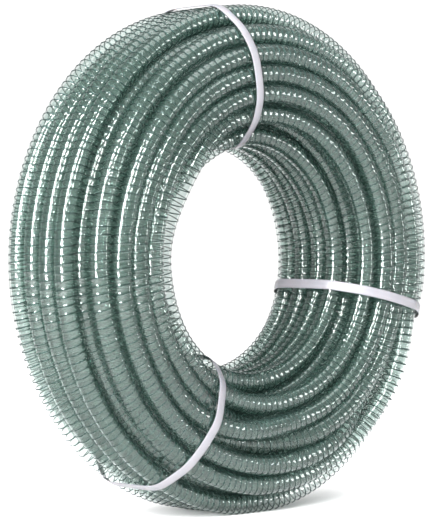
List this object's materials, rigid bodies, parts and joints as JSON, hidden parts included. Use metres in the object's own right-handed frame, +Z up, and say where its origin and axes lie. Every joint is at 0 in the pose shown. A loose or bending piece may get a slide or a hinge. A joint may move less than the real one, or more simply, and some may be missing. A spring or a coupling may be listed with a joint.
{
  "type": "corrugated drain hose",
  "caption": "Strapped coil of clear flexible drain hose with a spring-steel spiral in its wall, standing on its rim.",
  "frame": {"origin": "middle of the coil at floor level", "axes": "+Y along the coil's axis from the front face to the back, +Z up, +X to the right seen from the front"},
  "size_m": [0.6374, 0.1944, 0.6373],
  "materials": {
    "clear_pvc": "clear plasticised PVC with a pale blue-green tint, glossy",
    "white_strap": "white polypropylene strap, embossed, semi-matt",
    "spring_steel": "drawn spring-steel wire inside the hose wall"
  },
  "bodies": {
    "root": {"hose_coil": "clear_pvc", "strap_top": "white_strap", "strap_right": "white_strap", "strap_low": "white_strap"}
  },
  "joints": []
}
